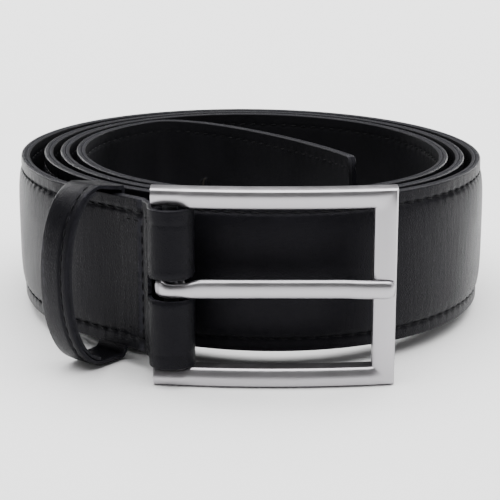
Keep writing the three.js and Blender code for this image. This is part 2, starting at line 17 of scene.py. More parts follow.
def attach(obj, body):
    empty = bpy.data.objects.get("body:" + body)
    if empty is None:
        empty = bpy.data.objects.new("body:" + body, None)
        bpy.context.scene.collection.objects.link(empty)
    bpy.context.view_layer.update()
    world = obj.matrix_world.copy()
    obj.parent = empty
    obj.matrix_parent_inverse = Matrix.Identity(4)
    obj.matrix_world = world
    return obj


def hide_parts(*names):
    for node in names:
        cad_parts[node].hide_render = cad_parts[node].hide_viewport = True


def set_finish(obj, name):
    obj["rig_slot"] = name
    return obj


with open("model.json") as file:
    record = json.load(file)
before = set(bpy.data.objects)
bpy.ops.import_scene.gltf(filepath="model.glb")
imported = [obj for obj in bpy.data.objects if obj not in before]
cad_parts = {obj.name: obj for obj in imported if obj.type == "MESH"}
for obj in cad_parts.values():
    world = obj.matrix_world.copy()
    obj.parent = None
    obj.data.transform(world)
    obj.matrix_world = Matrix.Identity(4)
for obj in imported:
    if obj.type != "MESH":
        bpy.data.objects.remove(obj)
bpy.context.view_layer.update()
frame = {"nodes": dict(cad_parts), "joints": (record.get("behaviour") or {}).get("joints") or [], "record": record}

# %% [markdown]
# ## One way to say where things are
# The belt leans back a little on its buckle, so its own upright is the axis of the buckle's hinge.
# Every piece could be shaped leaning. It is easier to shape the belt upright, in millimetres, with the
# middle of the coil as zero, and to turn each finished mesh into the frame. The hinge gives that turn.

# %% Belt coordinates, found from the buckle's hinge
MM = 0.001
BAR = np.array([-18.47, -64.5])
STRAP_WIDTH = 34.6
MID = STRAP_WIDTH / 2
hinge = next(j for j in frame["joints"] if j["name"] == "buckle_hinge")
lean = -math.atan2(hinge["axis"][1], hinge["axis"][2])
turn = np.array(Matrix.Rotation(lean, 3, "X"))
shift = np.array(hinge["pos_m"]) - turn @ (np.array([BAR[0], BAR[1], MID]) * MM)


def placed(points):
    """Belt millimetres to the frame's metres."""
    return np.asarray(points, dtype=float) * MM @ turn.T + shift


print("lean in degrees", round(math.degrees(lean), 3))

# %% [markdown]
# ## The camera
# The belt is seen from the front and a little above. A short lens would swell the buckle, so a long one
# keeps its sides square. It is set in belt coordinates, so that it stays right if the lean changes.

# %% Camera
CAMERA_AT = (-1.58, -371.3, 107.4)
CAMERA_PITCH = math.radians(15)
LENS = 107.6
SENSOR = 36
camera_data = bpy.data.cameras.new("camera")
camera_data.sensor_width = SENSOR
camera_data.lens = LENS
camera = bpy.data.objects.new("camera", camera_data)
camera.location = placed([CAMERA_AT])[0]
camera.rotation_euler = (math.pi / 2 - CAMERA_PITCH + lean, 0, 0)
bpy.context.scene.collection.objects.link(camera)
bpy.context.scene.camera = camera
print("camera at", [round(value, 3) for value in camera.location])

# %% [markdown]
# ## The run of the strap
# Seen from above, the strap is one curve: a short straight run from the buckle's bar, then a coil that
# tightens inward, then the free end that springs across the inside. It could be drawn by hand. A formula
# is used, because every ply and stitch needs a point and a normal at any distance. The coil is a radius
# that shrinks with the angle, and two Bezier curves leave it along its tangent.

# %% The coil, in turns clockwise from the front
COIL_FROM = 0.143
COIL_TO = 3.397
COIL_RADIUS = 55.7
RADIUS_TURN = 0.75
PITCH, PITCH_WAVE = 3.72, 0.30
OVAL_COS, OVAL_SIN = -0.026, -0.035
FLARE, FLARE_TURNS, FLARE_POWER = 7.23, 0.5, 2.3


def coil(turns):
    """A point of the coil: its pitch varies, it is a little oval, and its start flares out."""
    angle = -math.pi / 2 - 2 * math.pi * np.asarray(turns)
    pitch = PITCH + PITCH_WAVE * np.cos(2 * angle)
    oval = OVAL_COS * np.cos(2 * angle) + OVAL_SIN * np.sin(2 * angle)
    flare = FLARE * (np.clip(FLARE_TURNS - turns, 0, None) / FLARE_TURNS) ** FLARE_POWER
    radius = COIL_RADIUS * (1 + oval) - pitch * (turns - RADIUS_TURN) + flare
    return np.stack([radius * np.cos(angle), radius * np.sin(angle)], axis=-1)


def coil_tangent(turns):
    step = coil(turns + 1e-4) - coil(turns - 1e-4)
    return step / np.linalg.norm(step)


print("turns in the coil", round(COIL_TO - COIL_FROM, 2))

# %% The whole plan curve, from the bar to the tip
BAR_ANGLE = math.radians(117.8)
TIP = np.array([23.69, -10.85])
TIP_ANGLE = math.radians(-65.8)
BAR_PULL, START_PULL = 10.5, 9.36
STOP_PULL, TIP_PULL = 15.4, 25.6
COIL_POINTS = 6000


def heading(angle):
    return np.array([math.cos(angle), math.sin(angle)])


def bezier(a, b, c, d, count=400):
    t = np.linspace(0, 1, count)[:, None]
    return (1 - t) ** 3 * a + 3 * (1 - t) ** 2 * t * b + 3 * (1 - t) * t * t * c + t ** 3 * d


start, stop = coil(COIL_FROM), coil(COIL_TO)
leave = bezier(BAR, BAR + BAR_PULL * heading(BAR_ANGLE), start - START_PULL * coil_tangent(COIL_FROM), start)
spring = bezier(stop, stop + STOP_PULL * coil_tangent(COIL_TO), TIP - TIP_PULL * heading(TIP_ANGLE), TIP)
plan = np.vstack([leave[:-1], coil(np.linspace(COIL_FROM, COIL_TO, COIL_POINTS)), spring[1:]])
plan_run = np.concatenate([[0], np.cumsum(np.hypot(*np.diff(plan, axis=0).T))])
RUN = plan_run[-1]
print("strap from bar to tip, mm", round(float(RUN), 1))

# %% A point and its normal at any distance
REACH = 0.4


def plan_at(run):
    return np.stack([np.interp(run, plan_run, plan[:, k]) for k in (0, 1)], axis=-1)


def at_run(run):
    """Plan points and outward normals at distances along the strap from the bar."""
    run = np.asarray(run, dtype=float)
    along = plan_at(run + REACH) - plan_at(run - REACH)
    along /= np.linalg.norm(along, axis=-1, keepdims=True)
    return plan_at(run), np.stack([-along[..., 1], along[..., 0]], axis=-1)


print("tip at", at_run([RUN])[0][0].round(2).tolist())

# %% [markdown]
# ## A skin through a grid of points
# Straps, keepers and buckle bars are all rings of points along a path. A bevelled curve keeps one section
# all the way. One helper turns a grid of points, ring by ring, into a closed mesh with flat ends, so
# that each ring can differ.

# %% Mesh helpers
SHARP_ANGLE = 40


def mesh_object(name, points, faces, body, slot, smooth):
    """A closed mesh that rides on a body, crisp at edges past the smooth angle."""
    mesh = bpy.data.meshes.new(name)
    mesh.from_pydata(placed(points).tolist(), [], faces)
    mesh.update()
    solid = bmesh.new()
    solid.from_mesh(mesh)
    bmesh.ops.recalc_face_normals(solid, faces=solid.faces)
    if solid.calc_volume(signed=True) < 0:
        bmesh.ops.reverse_faces(solid, faces=solid.faces)
    solid.to_mesh(mesh)
    solid.free()
    mesh.shade_smooth()
    mesh.set_sharp_from_angle(angle=math.radians(smooth))
    piece = bpy.data.objects.new(name, mesh)
    bpy.context.scene.collection.objects.link(piece)
    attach(piece, body)
    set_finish(piece, slot)
    print(name, "faces", len(mesh.polygons))
    return piece


def loft(name, grid, body, slot, closed=False, smooth=SHARP_ANGLE):
    """A skin over grid[station][ring point]; the ring is closed, and the row too if asked."""
    rows, around = grid.shape[:2]
    faces = []
    for i in range(rows if closed else rows - 1):
        here, there = i * around, (i + 1) % rows * around
        for j in range(around):
            k = (j + 1) % around
            faces.append((here + j, here + k, there + k, there + j))
    if not closed:
        faces.append(tuple(range(around)))
        faces.append(tuple(range((rows - 1) * around, rows * around)))
    return mesh_object(name, grid.reshape(-1, 3), faces, body, slot, smooth)


def upright(point, out, offset, z):
    """Points at an offset along the outward normal and a height, alone or in rings."""
    if z.ndim == 2:
        point, out = point[:, None, :], out[:, None, :]
    x = point[..., 0] + out[..., 0] * offset
    y = point[..., 1] + out[..., 1] * offset
    return np.stack([x, y, z], axis=-1)


print("crisp edges from, degrees", SHARP_ANGLE)

# %% [markdown]
# ## The outer leather
# The show side is one strip of leather over a slim filler: flat at the sewn edges and domed between
# them. Its end folds round the buckle's bar and is sewn down behind. The seams could be left to a bump
# map. Here the section is a function of height, with the seams pressed into it as real grooves with a
# pucker at each stitch, because they catch the light.

# %% Section of the outer leather, in mm from the strap's middle line
PLY = 1.1
FACE = 1.05
BACK = -1.05
SEAM = 3.0
STITCH = 3.0
FOLD = 9.6
BOX = 16.2
DOME_LIP, DOME_RISE, DOME_EASE = 0.06, 0.89, 2.4
DOME_STARTS_OVER, DOME_ENDS_OVER = 15, 22
GROOVE, GROOVE_WIDTH = 0.30, 0.5
PUCKER, PUCKER_WIDTH = 0.07, 1.5


def smooth(x):
    x = np.clip(x, 0, 1)
    return x * x * (3 - 2 * x)


def bell(x, width):
    return np.exp(-((x / width) ** 2))


def dome_share(run):
    return smooth((run - BOX) / DOME_STARTS_OVER) * smooth((RUN - run) / DOME_ENDS_OVER)


def dome(z, share):
    """Height of the padded dome over the flat edge."""
    inward = np.clip(np.minimum(z, STRAP_WIDTH - z) - SEAM, 0, None)
    return share * (DOME_LIP + DOME_RISE * (1 - np.exp(-inward / DOME_EASE)))


def pressed(z, run, depth=GROOVE):
    """The seam's groove along both edges, puckered once a stitch."""
    away = np.abs(np.minimum(z, STRAP_WIDTH - z) - SEAM)
    wave = np.cos(2 * math.pi * run / STITCH)
    return depth * bell(away, GROOVE_WIDTH) * (1 + 0.25 * wave) + PUCKER * wave * bell(away, PUCKER_WIDTH)


print("dome over the flat edge, mm", round(float(dome(MID, 1)), 2))

# %% [markdown]
# ### How far out the leather lies
# In front, the leather runs from the wide loop down onto the strap. Behind, the turned-back tail lies on
# the lining, steps out over the keeper's back, and lifts at its end. Straight offsets would leave kinks,
# so each change is an eased step along the run.

# %% Offsets of the two runs
FOLD_RADIUS = 4.0
TAIL_INNER = 1.15
TAIL_END = 38.0
KEEPER_STEP, KEEPER_STEP_FROM, KEEPER_STEP_OVER = 1.3, 12.4, 4.6
TAIL_LIFT, TAIL_LIFT_FROM, TAIL_LIFT_OVER = 0.9, 27, 11


def front_inner(run):
    return FOLD_RADIUS + (FACE - PLY - FOLD_RADIUS) * smooth(run / FOLD)


def tail_inner(run):
    flat = TAIL_INNER + (FOLD_RADIUS - TAIL_INNER) * (1 - smooth(run / FOLD))
    step = KEEPER_STEP * smooth((run - KEEPER_STEP_FROM) / KEEPER_STEP_OVER)
    return flat + step + TAIL_LIFT * smooth((run - TAIL_LIFT_FROM) / TAIL_LIFT_OVER)


print("tail's end behind the middle line, mm", round(float(tail_inner(TAIL_END)), 2))

# %% Rings of a ply, closest together at its edges, seams and slot
EDGE_TO, SEAM_TO, SLOT_FROM = 0.012, 0.15, 0.41
ROUND_EDGE = 0.33


def strap_shares():
    """Shares of the height of a ply, from its lower edge to its upper one."""
    edge = np.linspace(0, EDGE_TO, 6)[:-1]
    seam = np.linspace(EDGE_TO, SEAM_TO, 20)[:-1]
    plain = np.linspace(SEAM_TO, SLOT_FROM, 12)[:-1]
    half = np.concatenate([edge, seam, plain, np.linspace(SLOT_FROM, 0.5, 11)])
    return np.concatenate([half, 1 - half[-2::-1]])


FACE_SHARES = strap_shares()
BACK_SHARES = np.linspace(1, 0, 14)


def ply_grid(point, out, inner, low, high, face):
    """Rings of a ply: its face, where face(z) is the height over the flat ply, and its back."""
    tall = (high - low)[:, None]
    z = low[:, None] + tall * FACE_SHARES
    near = np.minimum(z - low[:, None], high[:, None] - z)
    corner = np.clip(ROUND_EDGE - near, 0, None)
    rounded = ROUND_EDGE - np.sqrt(np.clip(ROUND_EDGE ** 2 - corner ** 2, 0, None))
    outer = inner[:, None] + PLY - rounded + face(z)
    back_z = low[:, None] + tall * BACK_SHARES
    back = inner[:, None] + face(back_z, smooth_only=True)
    offset = np.concatenate([outer, back], axis=1)
    return upright(point, out, offset, np.concatenate([z, back_z], axis=1))


print("points in a ring", len(FACE_SHARES) + len(BACK_SHARES))

# %% Stations of the outer leather, from the tip round the bar to the tail
STEP, FINE_STEP = 0.75, 0.4
TAIL_TRIM = 2.3
TIP_CORNER = 1.6
LOOP_TRIM = -0.2
LOOP_SEAM, SEAM_STARTS_OVER = 0.3, 8


def tip_inset(run):
    """The square-cut end has small rounded corners."""
    into = np.clip(TIP_CORNER - (RUN - run), 0, None)
    return TIP_CORNER - np.sqrt(np.clip(TIP_CORNER ** 2 - into ** 2, 0, None))


front_run = np.concatenate([np.arange(RUN, FOLD, -STEP), np.arange(FOLD, 0, -FINE_STEP), [0]])
wrap = np.linspace(0, math.pi, 40)[1:-1]
tail_run = np.concatenate([np.arange(0, FOLD, FINE_STEP), np.arange(FOLD, TAIL_END, STEP), [TAIL_END]])
FRONTS, WRAPS, TAILS = len(front_run), len(wrap), len(tail_run)
all_run = np.concatenate([front_run, -wrap * FOLD_RADIUS, tail_run])
all_low = np.concatenate([
    tip_inset(front_run) + LOOP_TRIM * (1 - smooth(front_run / FOLD)),
    np.full(WRAPS, LOOP_TRIM),
    LOOP_TRIM + (TAIL_TRIM - LOOP_TRIM) * smooth(tail_run / FOLD),
])
all_share = np.concatenate([dome_share(front_run), np.zeros(WRAPS + TAILS)])
seam_share = np.concatenate([
    LOOP_SEAM + (1 - LOOP_SEAM) * smooth((front_run - FOLD) / SEAM_STARTS_OVER),
    np.full(WRAPS, LOOP_SEAM),
    np.zeros(TAILS),
])
print("stations along the leather", len(all_run))

# %% The face of the outer leather
SLOT, SLOT_PAST = 4.7, 3.4
CROSS_STITCH = 2.6
LIP_DROP, LIP_RIDGE = 0.32, 0.12
ROW_DEPTH, RIDGE, RIDGE_RUN = 0.34, 0.30, 7.6


def slot_lip(run, z):
    """The leather rolls over a little at the edge of the slot."""
    beyond = np.clip(run - (SLOT_PAST - SLOT / 2), 0, None)
    away = np.clip(np.hypot(beyond, z - MID) - SLOT / 2, 0, None)
    return LIP_DROP * bell(away, 0.4) - LIP_RIDGE * bell(away - 1.1, 0.6)


def leather_face(z, smooth_only=False):
    """Dome, edge grooves, slot lip, and the row that closes the fold with a ridge before it."""
    height = dome(z, all_share[:, None])
    if smooth_only:
        return height
    run = all_run[:, None] + 0 * z
    order = np.arange(len(all_run))[:, None]
    height = height - pressed(z, run) * seam_share[:, None]
    height = height - slot_lip(run, z) * (order < FRONTS + WRAPS)
    row = ROW_DEPTH * bell(run - FOLD, 0.55) * (1 + 0.22 * np.cos(2 * math.pi * z / CROSS_STITCH))
    return height + (order < FRONTS) * (RIDGE * bell(run - RIDGE_RUN, 1.1) - row)


point, out = at_run(front_run)
tail_point, tail_out = at_run(tail_run)
wrap_angle = BAR_ANGLE + math.pi / 2 + wrap
wrap_out = np.stack([np.cos(wrap_angle), np.sin(wrap_angle)], axis=-1)
strap_leather = loft("strap_leather", ply_grid(
    np.concatenate([point, np.repeat(BAR[None, :], WRAPS, axis=0), tail_point]),
    np.concatenate([out, wrap_out, -tail_out]),
    np.concatenate([front_inner(front_run), np.full(WRAPS, FOLD_RADIUS), tail_inner(tail_run)]),
    all_low,
    STRAP_WIDTH - all_low,
    leather_face,
), "strap", "black_leather")
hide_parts("strap_top_leather")

# %% [markdown]
# ## Punched holes and the slot for the prong
# Holes are punched through all plies, and the prong swings in a long slot in the fold. They could be
# modelled in the rings, which would bend the grid round each hole. Cutting with closed pegs leaves the
# grid alone, and the same pegs cut each ply in line.

# %% Cutting helpers
PEG_SIDES = 32


def cut(piece, cutters):
    """Cuts closed meshes out of a piece and keeps the result."""
    for cutter in cutters:
        modifier = piece.modifiers.new("cut", "BOOLEAN")
        modifier.object = cutter
        modifier.operation = "DIFFERENCE"
        modifier.solver = "EXACT"
    bpy.context.view_layer.update()
    made = bpy.data.meshes.new_from_object(piece.evaluated_get(bpy.context.evaluated_depsgraph_get()))
    piece.modifiers.clear()
    piece.data = made
    made.shade_smooth()
    made.set_sharp_from_angle(angle=math.radians(SHARP_ANGLE))
    for cutter in cutters:
        bpy.data.objects.remove(cutter)
    print(piece.name, "faces after cutting", len(made.polygons))


def cutter_object(solid, to_belt):
    """A cutter from a bmesh, whose points the function to_belt takes to belt millimetres."""
    for vert in solid.verts:
        vert.co = placed([to_belt(vert.co)])[0]
    mesh = bpy.data.meshes.new("cutter")
    solid.to_mesh(mesh)
    solid.free()
    cutter = bpy.data.objects.new("cutter", mesh)
    bpy.context.scene.collection.objects.link(cutter)
    return cutter


def peg(start, end, radius):
    """A plain round cutter between two belt points."""
    start, end = np.array(start, float), np.array(end, float)
    along = Vector(end - start)
    solid = bmesh.new()
    bmesh.ops.create_cone(
        solid, cap_ends=True, segments=PEG_SIDES, radius1=radius, radius2=radius, depth=along.length
    )
    pose = along.to_track_quat("Z", "Y").to_matrix().to_4x4()
    pose.translation = Vector((start + end) / 2)
    solid.transform(pose)
    return cutter_object(solid, lambda co: co)


print("sides of a cutting peg", PEG_SIDES)

# %% Cut the slot and the holes
HOLE_RADIUS = 2.0
HOLE_FIRST, HOLE_SPACING, HOLES = 60, 25, 5
HOLE_UNDER, HOLE_OVER = 1.25, 2.2
SLOT_BOX = (12.4, 7.1)
SLOT_BOX_BACK = 2.65


def slot_cutters():
    """A box across the loop, and a peg for the slot's round front end."""
    out_way = heading(BAR_ANGLE + math.pi / 2)
    end = BAR + (SLOT_PAST - SLOT / 2) * heading(BAR_ANGLE)
    round_end = peg((*(end + 2 * out_way), MID), (*(end + 7 * out_way), MID), SLOT / 2)
    cube = bmesh.new()
    bmesh.ops.create_cube(cube, size=1)
    box = cutter_object(cube, lambda co: (
        BAR[0] + co.x * SLOT_BOX[0], BAR[1] - SLOT_BOX_BACK + co.y * SLOT_BOX[1], MID + co.z * SLOT,
    ))
    return [round_end, box]


def hole_cutters():
    cutters = []
    for number in range(HOLES):
        where, way = at_run(RUN - (HOLE_FIRST + HOLE_SPACING * number))
        low, high = where - HOLE_UNDER * way, where + HOLE_OVER * way
        cutters.append(peg((*low, MID), (*high, MID), HOLE_RADIUS))
    return cutters


cut(strap_leather, slot_cutters() + hole_cutters())

# %% [markdown]
# ## Lining
# Behind the show leather lies a thinner lining, seen inside the coil and as a second line at the upper
# cut edge. It could be painted on the leather's back, but then that line would be missing. It is the
# same kind of ply, facing the other way, so the same rings make it.

# %% Lining
LINING = 0.9
LINING_GROOVE = 0.16
lining_run = np.concatenate([np.arange(RUN, FOLD, -STEP), [FOLD]])
point, out = at_run(lining_run)


def lining_face(z, smooth_only=False):
    if smooth_only:
        return 0 * z
    return -0.8 * pressed(z, lining_run[:, None] + 0 * z, LINING_GROOVE)


def lining_grid():
    low = tip_inset(lining_run)
    inner = np.full(len(lining_run), -BACK - LINING)
    grid = ply_grid(point, -out, inner - (PLY - LINING), low, STRAP_WIDTH - low, lining_face)
    steps = len(FACE_SHARES)
    z = grid[:, steps:, 2]
    base = upright(point, -out, inner[:, None] + 0 * z, z)
    return np.concatenate([grid[:, :steps], base], axis=1)


strap_lining = loft("lining", lining_grid(), "strap", "lining_leather")
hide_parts("strap_lining")
cut(strap_lining, hole_cutters())

# %% [markdown]
# ## Filler
# A strip of pressed fibre between the leathers makes the dome. It shows only as a dark line in the
# punched holes. A flat strip would leave a gap, so its upper side repeats the dome's formula.

# %% Filler
FILLER_EDGE = 0.3
FILLER_FROM, FILLER_SHORT = 27, 12
FILLER_FACE_GAP, FILLER_BACK_GAP = 0.1, 0.04
filler_run = np.arange(RUN - FILLER_SHORT, FILLER_FROM, -STEP)
point, out = at_run(filler_run)
filler_share = dome_share(filler_run)


def filler_rings():
    """A flat back and a domed face, as wide as the dome leaves room for."""
    inset = SEAM - DOME_EASE * np.log(1 - (FILLER_EDGE / filler_share - DOME_LIP) / DOME_RISE)
    tall = (STRAP_WIDTH - 2 * inset)[:, None]
    z = inset[:, None] + tall * np.linspace(0, 1, 25)
    face_u = FACE - PLY - FILLER_FACE_GAP + dome(z, filler_share[:, None])
    back_z = inset[:, None] + tall * np.array([1.0, 0.0])
    back_u = np.full(back_z.shape, FACE - PLY - FILLER_BACK_GAP)
    offset = np.concatenate([face_u, back_u], axis=1)
    return upright(point, out, offset, np.concatenate([z, back_z], axis=1))


filler_strip = loft("filler_strip", filler_rings(), "strap", "filler_board")
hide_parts("strap_filler")
cut(filler_strip, hole_cutters())

# %% [markdown]
# ## Stitching
# A lock stitch shows as short slanted bars that dip into their holes. A dashed texture would lie flat,
# and an array on a curve would bend the bars too. Each stitch is a small spindle, bent down at its
# ends, and a whole row is one mesh, from one template moved to every stitch.

# %% Stitch maker
def spindle(length, radius, rings=7, around=8):
    """A capsule along X whose ends dip down -Z."""
    rows = []
    for i in range(rings + 1):
        t = -1 + 2 * i / rings
        wide = radius * math.sqrt(max(1 - abs(t) ** 3, 0.02))
        dip = radius * 1.1 * t * t
        angles = np.linspace(0, 2 * math.pi, around, endpoint=False)
        rows.append([(t * length / 2, wide * math.cos(a), wide * math.sin(a) - dip) for a in angles])
    return np.array(rows)


def stitches(name, centres, alongs, outs, length, radius):
    """One mesh of spindles at the centres, along the given ways and proud along outs."""
    form = spindle(length, radius)
    rows, around = form.shape[:2]
    alongs = alongs / np.linalg.norm(alongs, axis=1, keepdims=True)
    across = np.cross(outs, alongs)
    flat = form.reshape(-1, 3)
    points = (
        centres[:, None, :]
        + flat[None, :, 0:1] * alongs[:, None, :]
        + flat[None, :, 1:2] * across[:, None, :]
        + flat[None, :, 2:3] * outs[:, None, :]
    ).reshape(-1, 3)
    faces = []
    for base in range(0, len(points), rows * around):
        for here in range(base, base + (rows - 1) * around, around):
            for j in range(around):
                k = (j + 1) % around
                faces.append((here + j, here + k, here + around + k, here + around + j))
        faces.append(tuple(base + j for j in range(around)))
        faces.append(tuple(base + (rows - 1) * around + j for j in reversed(range(around))))
    return mesh_object(name, points, faces, "strap", "black_thread", smooth=60)


print("points in one stitch", len(spindle(1, 0.1).reshape(-1, 3)))

# %% [markdown]
# ### Edge seams
# One seam runs close to each edge, and its underside shows on the lining with shorter bars. Whole threads
# could run through the belt, but only what shows is made: a row on each side, sunk into its groove.

# %% Edge seams, on the face and on the lining
FACE_SUNK, LINING_SUNK = 0.13, 0.09
FIRST_STITCH, FIRST_LINING_STITCH = 1.5, FOLD + 2
LOOK_AHEAD = 0.3


def level(ways):
    """Plan vectors as level ones in space."""
    return np.concatenate([ways, np.zeros((len(ways), 1))], axis=1)


def edge_row(z, side=1):
    """Centres, ways and normals of a stitch row on the face (side 1) or the lining (side -1)."""
    run = np.arange(FIRST_STITCH if side > 0 else FIRST_LINING_STITCH, RUN - SEAM, STITCH)
    where, way = at_run(run)
    if side > 0:
        offset = front_inner(run) + PLY + dome(z, dome_share(run)) - FACE_SUNK
    else:
        offset = np.full(len(run), BACK + LINING_SUNK)
    centres = upright(where, way, offset, np.full(len(run), float(z)))
    ahead, _ = at_run(run + LOOK_AHEAD)
    slant = np.full((len(run), 1), 0.05)
    return centres, np.concatenate([ahead - where, slant], axis=1), level(way * side)


for name, z in (("lower", SEAM), ("upper", STRAP_WIDTH - SEAM)):
    row = stitches(f"edge_stitches_{name}", *edge_row(z), 2.3, 0.23)
    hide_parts(f"edge_thread_{name}")
    stitches(f"lining_stitches_{name}", *edge_row(z, -1), 2.1, 0.2)

# %% [markdown]
# ### Box seam
# A row sewn across the strap closes the fold, and a second row with two short sides makes a box that
# holds the tail. One closed path would round the corners, so the box is four straight rows.

# %% Box seam behind the fold
BOX_ROW = 15.4
SHORT_FROM, SHORT_TO, SHORT_STITCH = 11.2, 15.2, 2.4
ROW_SUNK, SHORT_SUNK = 0.16, 0.02


def cross_row(run, low, high):
    zs = np.arange(low, high + 0.1, CROSS_STITCH)
    runs = np.full(len(zs), run)
    where, way = at_run(runs)
    centres = upright(where, way, front_inner(runs) + PLY - ROW_SUNK, zs)
    return centres, np.tile([0.03, 0.03, 1.0], (len(zs), 1)), level(way)


def short_row(z):
    run = np.arange(SHORT_FROM, SHORT_TO, SHORT_STITCH)
    where, way = at_run(run)
    centres = upright(where, way, np.full(len(run), FACE - SHORT_SUNK), np.full(len(run), float(z)))
    ahead, _ = at_run(run + LOOK_AHEAD)
    return centres, level(ahead - where), level(way)


box_rows = [cross_row(FOLD, 4.6, 30.2), cross_row(BOX_ROW, 5.4, 29.4), short_row(4.9), short_row(29.7)]
joined = [np.concatenate(parts) for parts in zip(*box_rows)]
box_seam = stitches("fold_stitches", *joined, 2.0, 0.22)
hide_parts("fold_thread")

# %% [markdown]
# ## Keeper
# The keeper is a narrow hoop of the same leather, sewn in behind the fold and left loose in front. Empty,
# it bellies out. It could be relaxed as cloth, but its seam would blur. It is a rounded box at the back
# and a softer oval in front, so one formula with a different exponent for each part draws it.

# %% The keeper's place and curve
KEEPER_WIDTH = 8.4
KEEPER_RUN = 21.8
KEEPER_LOW, KEEPER_HIGH = -3.75, 37.75
BELLY, SHOULDER = 16.7, 5.4
KEEPER_PLY, KEEPER_BACK_PLY = 1.2, 1.1
KEEPER_GAP = 0.15
FRONT_POWER, TOP_POWER, LOW_POWER = 2.1, 30, 12
CLOSING = 0.055
keeper_from = KEEPER_RUN - KEEPER_WIDTH / 2 - KEEPER_GAP
keeper_to = KEEPER_RUN + KEEPER_WIDTH / 2 + KEEPER_GAP
keeper_ends, _ = at_run([keeper_from, keeper_to])
keeper_middle = keeper_ends.mean(axis=0)
keeper_along = keeper_ends[1] - keeper_ends[0]
keeper_along /= np.linalg.norm(keeper_along)
keeper_out = np.array([-keeper_along[1], keeper_along[0]])


def power_round(value, power):
    return np.sign(value) * np.abs(value) ** (2 / power)


def hoop_point(angle, depth, along):
    """A point of the hoop: its angle, its depth under the outer face, its place along the strap."""
    front = np.cos(angle) > 0
    top = np.sin(angle) > 0
    power = np.where(front, FRONT_POWER, np.where(top, TOP_POWER, LOW_POWER))
    back = SHOULDER - BACK + KEEPER_GAP + KEEPER_BACK_PLY - depth * KEEPER_BACK_PLY / KEEPER_PLY
    reach = np.where(front, BELLY - SHOULDER - depth, back)
    offset = SHOULDER + reach * power_round(np.cos(angle), power)
    closing = 1 - CLOSING * top * smooth((SHOULDER - offset) / (SHOULDER - BACK))
    half = (KEEPER_HIGH - KEEPER_LOW) / 2 * closing - depth
    z = (KEEPER_HIGH + KEEPER_LOW) / 2 + half * power_round(np.sin(angle), power)
    flat = keeper_middle + keeper_along * along[..., None] + keeper_out * offset[..., None]
    return np.concatenate([flat, z[..., None]], axis=-1)


print("keeper's height, mm", KEEPER_HIGH - KEEPER_LOW)

# %% The keeper's leather and its inner ply
KEEPER_SEAM = 1.8
KEEPER_CROWN, KEEPER_GROOVE = 0.38, 0.34
ROUND_FROM, ROUND_DROP = 0.9, 0.36
FACE_POINTS, BACK_POINTS = 49, 9
INSIDE_REACH = math.radians(84)
INSIDE_PLY = 0.8
HOOP_STATIONS = 280


def hoop_band(name, angles, outer, inner, half, crown, groove, slot, closed):
    """A band with rounded edges, a padded crown and a pressed seam."""
    across = np.linspace(-1, 1, FACE_POINTS)
    face_along = half * across
    edge = np.clip((np.abs(across) - ROUND_FROM) / (1 - ROUND_FROM), 0, 1)
    drop = ROUND_DROP * (1 - np.sqrt(1 - edge ** 2))
    seam = groove * bell(face_along - KEEPER_SEAM + half, 0.42)
    swell = drop - crown * (1 - np.abs(across) ** 2.6) + seam
    front = np.clip(np.cos(angles), 0, 1)[:, None] ** 0.5
    face_depth = outer + swell[None, :] * front
    back_depth = np.full((len(angles), BACK_POINTS), float(inner))
    row = np.concatenate([face_along, half * np.linspace(1, -1, BACK_POINTS)])
    along = np.broadcast_to(row, (len(angles), len(row)))
    angle = np.repeat(angles[:, None], len(row), axis=1)
    depth = np.concatenate([face_depth, back_depth], axis=1)
    return loft(name, hoop_point(angle, depth, along), "strap", slot, closed)


hoop_angles = (np.arange(HOOP_STATIONS) + 0.5) * 2 * math.pi / HOOP_STATIONS
keeper_band = hoop_band(
    "keeper_band", hoop_angles, KEEPER_CROWN, KEEPER_PLY, KEEPER_WIDTH / 2,
    KEEPER_CROWN, KEEPER_GROOVE, "black_leather", True,
)
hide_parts("keeper_outer")
keeper_inside = hoop_band(
    "keeper_inside", np.linspace(-INSIDE_REACH, INSIDE_REACH, 90), KEEPER_PLY + 0.1,
    KEEPER_PLY + 0.1 + INSIDE_PLY, KEEPER_WIDTH / 2 - 0.1, 0, 0, "lining_leather", False,
)
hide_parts("keeper_lining")

# %% [markdown]
# ### Keeper seam
# One row runs round the loose front of the keeper, near its edge. Even steps of angle would crowd the
# stitches at the shoulders, so they are set out by distance along the curve.

# %% Keeper stitches
KEEPER_STITCH = 2.8
KEEPER_STITCH_DEPTH = 0.34
SEAM_REACH = math.radians(80)


def keeper_row():
    dense = np.linspace(-SEAM_REACH, SEAM_REACH, 1200)
    place = KEEPER_SEAM - KEEPER_WIDTH / 2
    line = hoop_point(dense, np.full(len(dense), 0.3), np.full(len(dense), place))
    length = np.concatenate([[0], np.cumsum(np.linalg.norm(np.diff(line, axis=0), axis=1))])
    angle = np.interp(np.arange(1.2, length[-1], KEEPER_STITCH), length, dense)
    flat = np.full(len(angle), place)
    sunk = np.full(len(angle), KEEPER_STITCH_DEPTH)
    centres = hoop_point(angle, sunk, flat)
    along = hoop_point(angle + 0.01, sunk, flat) - centres
    along /= np.linalg.norm(along, axis=1, keepdims=True)
    outs = centres - hoop_point(angle, np.full(len(angle), KEEPER_PLY), flat)
    outs -= along * np.sum(outs * along, axis=1, keepdims=True)
    outs /= np.linalg.norm(outs, axis=1, keepdims=True)
    return centres, along, outs


keeper_seam = stitches("keeper_stitches", *keeper_row(), 2.1, 0.2)
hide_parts("keeper_thread")

# %% [markdown]
# ## Buckle
# The buckle is a three-sided metal frame with a pin across its open end. Its bars have a flat back and a
# rounded front, and bow out a little to follow the waist. Three separate bars would meet badly. One
# section is carried round the three sides with mitred corners, so the light runs on unbroken.

